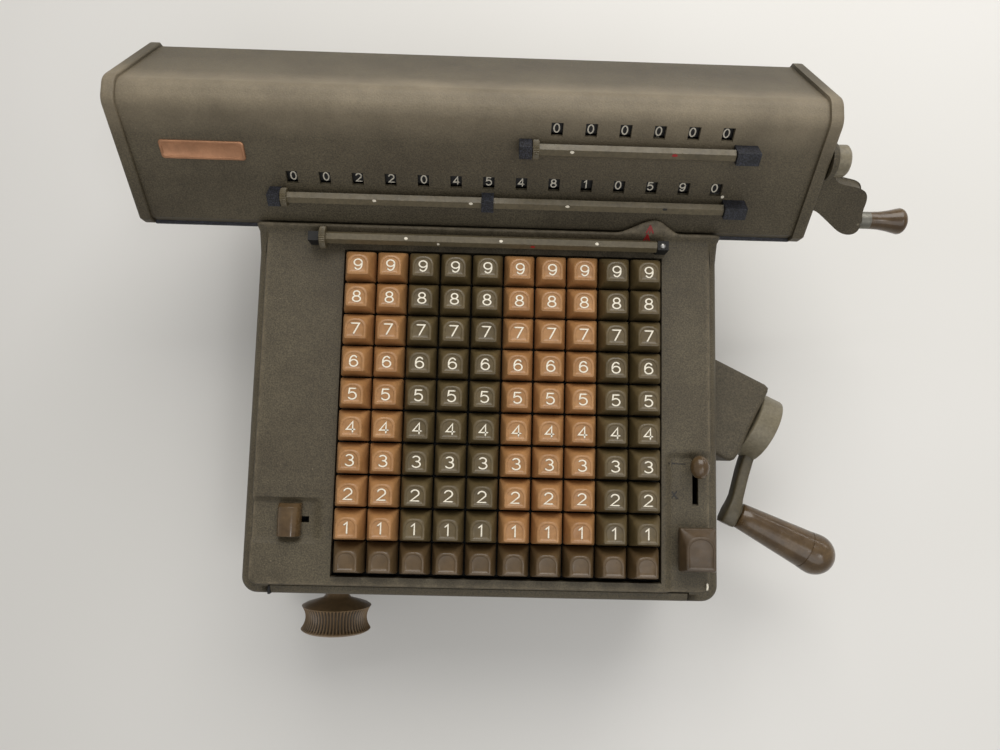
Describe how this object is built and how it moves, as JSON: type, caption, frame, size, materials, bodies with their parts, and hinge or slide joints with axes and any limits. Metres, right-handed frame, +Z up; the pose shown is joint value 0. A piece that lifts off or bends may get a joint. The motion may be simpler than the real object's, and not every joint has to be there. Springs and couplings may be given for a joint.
{
  "type": "mechanical calculator",
  "caption": "Desktop mechanical calculator with a full key bed, a slanted side crank, a sliding carriage with number windows, marker bars and a front shift knob.",
  "frame": {"origin": "centre of the footprint of the whole machine on the table, with the carriage in its rest place", "axes": "+X right along the carriage, +Y back from the key bed to the carriage, +Z up from the table"},
  "size_m": [0.3931, 0.316, 0.1556],
  "materials": {
    "crinkle_paint": "dark olive-brown crinkle paint",
    "clear_arm_paint": "dark olive-brown crinkle paint",
    "crank_enamel": "smooth olive-grey enamel",
    "pan_paint": "dark paint",
    "foot_rubber": "matt",
    "frame_steel": "plated",
    "shaft_steel": "ground",
    "gear_brass": "machined",
    "key_tan": "glossy caramel with white figures",
    "key_olive": "glossy dark olive with white figures",
    "key_brown": "glossy brown",
    "knob_brown": "polished dark brown",
    "bar_enamel": "light olive-grey enamel",
    "block_black": "pebbled blue-black paint",
    "dial_black": "black with white figures"
  },
  "bodies": {
    "frame": {"base_pan": "pan_paint", "feet": "foot_rubber", "top_cover": "crinkle_paint", "front_panel": "crinkle_paint", "crank_housing": "crinkle_paint", "frame_left": "frame_steel", "frame_right": "frame_steel", "rear_bridge": "frame_steel", "key_plate": "frame_steel", "carriage_rails": "frame_steel", "bar_blocks_keyboard": "block_black"},
    "crank": {"crank_arm": "crank_enamel", "crank_shaft": "shaft_steel"},
    "crank_grip": {"crank_grip": "knob_brown"},
    "drive": {"drive_shaft": "shaft_steel", "drive_gear": "gear_brass"},
    "idler": {"idler_gear": "gear_brass"},
    "main": {"main_shaft": "shaft_steel", "main_gear": "gear_brass", "pinwheel_rotors": "shaft_steel"},
    "shift": {"shift_knob": "knob_brown", "shift_shaft": "shaft_steel"},
    "shift_idler": {"shift_idler": "gear_brass"},
    "carriage": {"carriage_cover": "crinkle_paint", "carriage_end_left": "crinkle_paint", "carriage_end_right": "crinkle_paint", "carriage_frame": "frame_steel", "result_dials": "dial_black", "counter_dials": "dial_black", "dial_axles": "frame_steel", "bar_blocks_carriage": "block_black"},
    "counter_active_dial": {"counter_active_dial": "dial_black"},
    "result_bar": {"result_bar": "bar_enamel"},
    "counter_bar": {"counter_bar": "bar_enamel"},
    "keyboard_bar": {"keyboard_bar": "bar_enamel"},
    "clear_crank": {"clear_crank_arm": "clear_arm_paint"},
    "clear_crank_grip": {"clear_crank_grip": "knob_brown"},
    "function_lever": {"function_lever": "knob_brown"},
    "mode_lever": {"mode_lever": "knob_brown"},
    "keyboard_clear_key": {"keyboard_clear_key": "key_brown"},
    "key_column_01": {"key_column_01": "key_tan"},
    "key_column_02": {"key_column_02": "key_tan"},
    "key_column_03": {"key_column_03": "key_olive"},
    "key_column_04": {"key_column_04": "key_olive"},
    "key_column_05": {"key_column_05": "key_olive"},
    "key_column_06": {"key_column_06": "key_tan"},
    "key_column_07": {"key_column_07": "key_tan"},
    "key_column_08": {"key_column_08": "key_tan"},
    "key_column_09": {"key_column_09": "key_olive"},
    "key_column_10": {"key_column_10": "key_olive"},
    "column_clear_key_01": {"column_clear_key_01": "key_brown"},
    "column_clear_key_02": {"column_clear_key_02": "key_brown"},
    "column_clear_key_03": {"column_clear_key_03": "key_brown"},
    "column_clear_key_04": {"column_clear_key_04": "key_brown"},
    "column_clear_key_05": {"column_clear_key_05": "key_brown"},
    "column_clear_key_06": {"column_clear_key_06": "key_brown"},
    "column_clear_key_07": {"column_clear_key_07": "key_brown"},
    "column_clear_key_08": {"column_clear_key_08": "key_brown"},
    "column_clear_key_09": {"column_clear_key_09": "key_brown"},
    "column_clear_key_10": {"column_clear_key_10": "key_brown"}
  },
  "joints": [
    {"name": "crank_turn", "type": "hinge", "parent": "frame", "child": "crank", "pos_m": [0.13207, -0.0376, 0.062], "axis": [0.8988, -0.4384, 0], "continuous": true},
    {"name": "crank_grip_spin", "type": "hinge", "parent": "crank", "child": "crank_grip", "pos_m": [0.11081, -0.08119, 0.062], "axis": [0.8988, -0.4384, 0], "continuous": true},
    {"name": "drive_shaft_turn", "type": "hinge", "parent": "frame", "child": "drive", "pos_m": [0.08482, -0.01456, 0.062], "axis": [1, 0, 0], "continuous": true},
    {"name": "idler_turn", "type": "hinge", "parent": "frame", "child": "idler", "pos_m": [0.06882, 0.03767, 0.05667], "axis": [1, 0, 0], "continuous": true},
    {"name": "main_shaft_turn", "type": "hinge", "parent": "frame", "child": "main", "pos_m": [-0.01118, 0.0825, 0.084], "axis": [1, 0, 0], "continuous": true},
    {"name": "carriage_slide", "type": "slide", "parent": "frame", "child": "carriage", "axis": [1, 0, 0], "range_m": [-0.032, 0.048]},
    {"name": "counter_active_dial_turn", "type": "hinge", "parent": "carriage", "child": "counter_active_dial", "pos_m": [0.05942, 0.10244, 0.14036], "axis": [1, 0, 0], "continuous": true},
    {"name": "shift_idler_turn", "type": "hinge", "parent": "frame", "child": "shift_idler", "pos_m": [-0.09978, 0.1415, 0.084], "axis": [0, 1, 0], "range_deg": [-102.36, 153.29]},
    {"name": "shift_knob_turn", "type": "hinge", "parent": "frame", "child": "shift", "pos_m": [-0.09978, -0.0295, 0.044], "axis": [0, 1, 0], "range_deg": [-125.51, 83.84]},
    {"name": "clear_crank_turn", "type": "hinge", "parent": "carriage", "child": "clear_crank", "pos_m": [0.14332, 0.089, 0.133], "axis": [1, 0, 0], "range_deg": [-360, 360]},
    {"name": "clear_grip_spin", "type": "hinge", "parent": "clear_crank", "child": "clear_crank_grip", "pos_m": [0.14362, 0.06798, 0.10795], "axis": [1, 0, 0], "continuous": true},
    {"name": "result_bar_turn", "type": "hinge", "parent": "carriage", "child": "result_bar", "pos_m": [-0.01118, 0.06589, 0.12321], "axis": [1, 0, 0], "continuous": true},
    {"name": "counter_bar_turn", "type": "hinge", "parent": "carriage", "child": "counter_bar", "pos_m": [0.04882, 0.08481, 0.14505], "axis": [1, 0, 0], "continuous": true},
    {"name": "keyboard_bar_turn", "type": "hinge", "parent": "frame", "child": "keyboard_bar", "pos_m": [-0.01118, 0.0488, 0.1145], "axis": [1, 0, 0], "continuous": true},
    {"name": "function_lever_slide", "type": "slide", "parent": "frame", "child": "function_lever", "axis": [1, 0, 0], "range_m": [0, 0.006]},
    {"name": "mode_lever_slide", "type": "slide", "parent": "frame", "child": "mode_lever", "axis": [0, -1, 0], "range_m": [0, 0.0155]},
    {"name": "keyboard_clear_key_press", "type": "slide", "parent": "frame", "child": "keyboard_clear_key", "axis": [0, 0, -1], "range_m": [0, 0.003], "stiffness_N_per_m": 200, "springref_m": -0.003},
    {"name": "key_column_01_press", "type": "slide", "parent": "frame", "child": "key_column_01", "axis": [0, 0, -1], "range_m": [0, 0.003], "stiffness_N_per_m": 200, "springref_m": -0.003},
    {"name": "key_column_02_press", "type": "slide", "parent": "frame", "child": "key_column_02", "axis": [0, 0, -1], "range_m": [0, 0.003], "stiffness_N_per_m": 200, "springref_m": -0.003},
    {"name": "key_column_03_press", "type": "slide", "parent": "frame", "child": "key_column_03", "axis": [0, 0, -1], "range_m": [0, 0.003], "stiffness_N_per_m": 200, "springref_m": -0.003},
    {"name": "key_column_04_press", "type": "slide", "parent": "frame", "child": "key_column_04", "axis": [0, 0, -1], "range_m": [0, 0.003], "stiffness_N_per_m": 200, "springref_m": -0.003},
    {"name": "key_column_05_press", "type": "slide", "parent": "frame", "child": "key_column_05", "axis": [0, 0, -1], "range_m": [0, 0.003], "stiffness_N_per_m": 200, "springref_m": -0.003},
    {"name": "key_column_06_press", "type": "slide", "parent": "frame", "child": "key_column_06", "axis": [0, 0, -1], "range_m": [0, 0.003], "stiffness_N_per_m": 200, "springref_m": -0.003},
    {"name": "key_column_07_press", "type": "slide", "parent": "frame", "child": "key_column_07", "axis": [0, 0, -1], "range_m": [0, 0.003], "stiffness_N_per_m": 200, "springref_m": -0.003},
    {"name": "key_column_08_press", "type": "slide", "parent": "frame", "child": "key_column_08", "axis": [0, 0, -1], "range_m": [0, 0.003], "stiffness_N_per_m": 200, "springref_m": -0.003},
    {"name": "key_column_09_press", "type": "slide", "parent": "frame", "child": "key_column_09", "axis": [0, 0, -1], "range_m": [0, 0.003], "stiffness_N_per_m": 200, "springref_m": -0.003},
    {"name": "key_column_10_press", "type": "slide", "parent": "frame", "child": "key_column_10", "axis": [0, 0, -1], "range_m": [0, 0.003], "stiffness_N_per_m": 200, "springref_m": -0.003},
    {"name": "column_clear_key_01_press", "type": "slide", "parent": "frame", "child": "column_clear_key_01", "axis": [0, 0, -1], "range_m": [0, 0.003], "stiffness_N_per_m": 200, "springref_m": -0.003},
    {"name": "column_clear_key_02_press", "type": "slide", "parent": "frame", "child": "column_clear_key_02", "axis": [0, 0, -1], "range_m": [0, 0.003], "stiffness_N_per_m": 200, "springref_m": -0.003},
    {"name": "column_clear_key_03_press", "type": "slide", "parent": "frame", "child": "column_clear_key_03", "axis": [0, 0, -1], "range_m": [0, 0.003], "stiffness_N_per_m": 200, "springref_m": -0.003},
    {"name": "column_clear_key_04_press", "type": "slide", "parent": "frame", "child": "column_clear_key_04", "axis": [0, 0, -1], "range_m": [0, 0.003], "stiffness_N_per_m": 200, "springref_m": -0.003},
    {"name": "column_clear_key_05_press", "type": "slide", "parent": "frame", "child": "column_clear_key_05", "axis": [0, 0, -1], "range_m": [0, 0.003], "stiffness_N_per_m": 200, "springref_m": -0.003},
    {"name": "column_clear_key_06_press", "type": "slide", "parent": "frame", "child": "column_clear_key_06", "axis": [0, 0, -1], "range_m": [0, 0.003], "stiffness_N_per_m": 200, "springref_m": -0.003},
    {"name": "column_clear_key_07_press", "type": "slide", "parent": "frame", "child": "column_clear_key_07", "axis": [0, 0, -1], "range_m": [0, 0.003], "stiffness_N_per_m": 200, "springref_m": -0.003},
    {"name": "column_clear_key_08_press", "type": "slide", "parent": "frame", "child": "column_clear_key_08", "axis": [0, 0, -1], "range_m": [0, 0.003], "stiffness_N_per_m": 200, "springref_m": -0.003},
    {"name": "column_clear_key_09_press", "type": "slide", "parent": "frame", "child": "column_clear_key_09", "axis": [0, 0, -1], "range_m": [0, 0.003], "stiffness_N_per_m": 200, "springref_m": -0.003},
    {"name": "column_clear_key_10_press", "type": "slide", "parent": "frame", "child": "column_clear_key_10", "axis": [0, 0, -1], "range_m": [0, 0.003], "stiffness_N_per_m": 200, "springref_m": -0.003}
  ],
  "couplings": [
    {"joint": "drive_shaft_turn", "follows": "crank_turn", "ratio": 1},
    {"joint": "idler_turn", "follows": "crank_turn", "ratio": -0.5},
    {"joint": "main_shaft_turn", "follows": "crank_turn", "ratio": 1},
    {"joint": "counter_active_dial_turn", "follows": "crank_turn", "ratio": 0.1},
    {"joint": "shift_idler_turn", "follows": "carriage_slide", "rad_per_m": 55.556},
    {"joint": "shift_knob_turn", "follows": "carriage_slide", "rad_per_m": -45.455}
  ]
}
